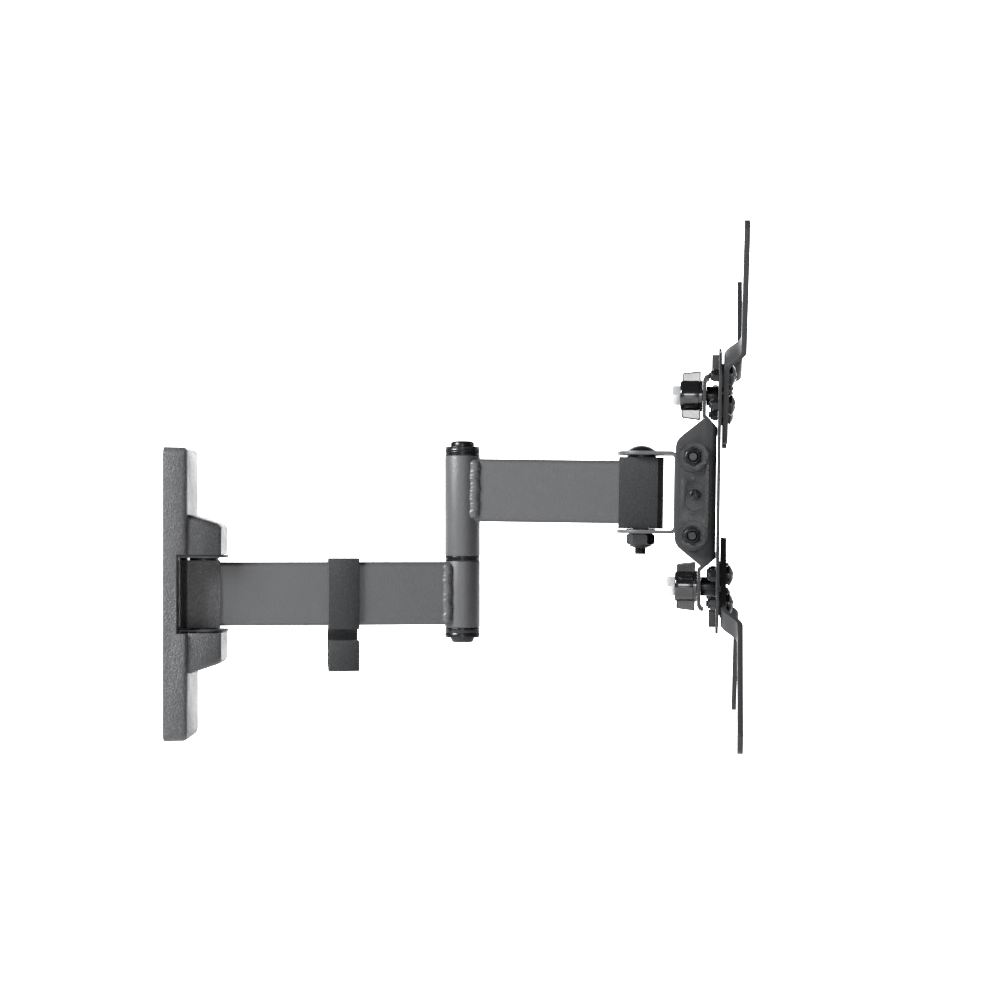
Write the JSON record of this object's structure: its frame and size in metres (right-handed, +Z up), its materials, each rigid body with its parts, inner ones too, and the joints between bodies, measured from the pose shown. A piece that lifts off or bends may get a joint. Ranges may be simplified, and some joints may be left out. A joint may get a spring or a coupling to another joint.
{
  "type": "full motion tv wall mount",
  "caption": "Double-arm swivelling and tilting wall mount for a flat screen, with a covered wall plate, folding elbow, cable clip and bolted extension arms.",
  "frame": {"origin": "centre of the wall plate's back face, on the wall's surface", "axes": "+X out of the wall into the room, +Z up, +Y to the left as seen from the room"},
  "size_m": [0.5337, 0.4201, 0.4286],
  "materials": {
    "powder_coat": "satin powder coat over steel",
    "textured_plastic": "fine-grained matt plastic",
    "moulded_plastic": "semi-gloss moulded plastic",
    "knob_plastic": "glossy black plastic",
    "black_steel": "blackened steel",
    "zinc_steel": "bright zinc plate"
  },
  "bodies": {
    "wall": {"wall_plate": "powder_coat", "pivot_bracket": "powder_coat", "wall_cover": "textured_plastic", "pivot_cover_upper": "textured_plastic", "pivot_cover_lower": "textured_plastic", "wall_pivot_bolt": "zinc_steel", "wall_pivot_nut": "zinc_steel", "wall_pivot_washers": "moulded_plastic"},
    "lower_arm": {"lower_arm_tube": "powder_coat", "lower_arm_bush": "black_steel", "lower_arm_sleeve": "textured_plastic", "elbow_lower_tube": "powder_coat", "elbow_lower_bushes": "moulded_plastic", "elbow_pin": "black_steel", "elbow_pin_cap": "black_steel", "elbow_bottom_ring": "black_steel", "elbow_thrust_washer": "black_steel"},
    "cable_clip": {"cable_clip": "textured_plastic"},
    "upper_arm": {"upper_arm_tube": "powder_coat", "upper_arm_bush": "black_steel", "upper_arm_sleeve": "textured_plastic", "elbow_upper_tube": "powder_coat", "elbow_upper_bushes": "moulded_plastic"},
    "yoke": {"yoke": "powder_coat", "yoke_bolt": "black_steel", "yoke_nut": "black_steel", "yoke_washers": "moulded_plastic"},
    "tilt_head": {"tilt_bracket": "powder_coat", "friction_plate_near": "moulded_plastic", "friction_plate_far": "moulded_plastic", "tilt_bolts": "black_steel", "tilt_nuts": "black_steel", "tilt_washers": "moulded_plastic", "tilt_axis_screws": "zinc_steel", "tilt_axis_nuts": "zinc_steel"},
    "television_plate": {"vesa_plate": "powder_coat", "plate_lips": "powder_coat", "vesa_arm_upper_near": "powder_coat", "vesa_arm_upper_far": "powder_coat", "vesa_arm_lower_near": "powder_coat", "vesa_arm_lower_far": "powder_coat", "arm_screws": "black_steel", "arm_washers": "black_steel", "arm_nuts": "black_steel", "knob_spacers": "black_steel"},
    "knob_upper": {"knob_upper_grip": "knob_plastic", "knob_upper_bolt": "zinc_steel"},
    "knob_lower": {"knob_lower_grip": "knob_plastic", "knob_lower_bolt": "zinc_steel"}
  },
  "joints": [
    {"name": "wall_swivel", "type": "hinge", "parent": "wall", "child": "lower_arm", "pos_m": [0.031, 0, -0.0007], "axis": [0, 0, 1], "range_deg": [-97, 83]},
    {"name": "elbow_swivel", "type": "hinge", "parent": "lower_arm", "child": "upper_arm", "pos_m": [0.25879, 0.02797, -0.0007], "axis": [0, 0, -1], "range_deg": [-145, 125]},
    {"name": "clip_slide", "type": "slide", "parent": "lower_arm", "child": "cable_clip", "axis": [0.9925, 0.1219, 0], "range_m": [-0.065, 0.055]},
    {"name": "head_swivel", "type": "hinge", "parent": "upper_arm", "child": "yoke", "pos_m": [0.41825, 0.01961, 0.08917], "axis": [0.0139, -0.0007, 0.9999], "range_deg": [-90, 90]},
    {"name": "screen_tilt", "type": "hinge", "parent": "yoke", "child": "tilt_head", "pos_m": [0.46612, 0.01424, 0.0865], "axis": [0.1115, 0.9938, -0.0008], "range_deg": [-5, 12]},
    {"name": "level_roll", "type": "hinge", "parent": "tilt_head", "child": "television_plate", "pos_m": [0.48511, 0.01211, 0.09013], "axis": [0.9937, -0.1115, -0.0139], "range_deg": [-3, 3]},
    {"name": "knob_upper_turn", "type": "hinge", "parent": "television_plate", "child": "knob_upper", "pos_m": [0.46418, 0.01453, 0.17514], "axis": [0.9937, -0.1115, -0.0139], "range_deg": [0, 540]},
    {"name": "knob_lower_turn", "type": "hinge", "parent": "television_plate", "child": "knob_lower", "pos_m": [0.46182, 0.01466, 0.00575], "axis": [0.9937, -0.1115, -0.0139], "range_deg": [0, 540]}
  ]
}
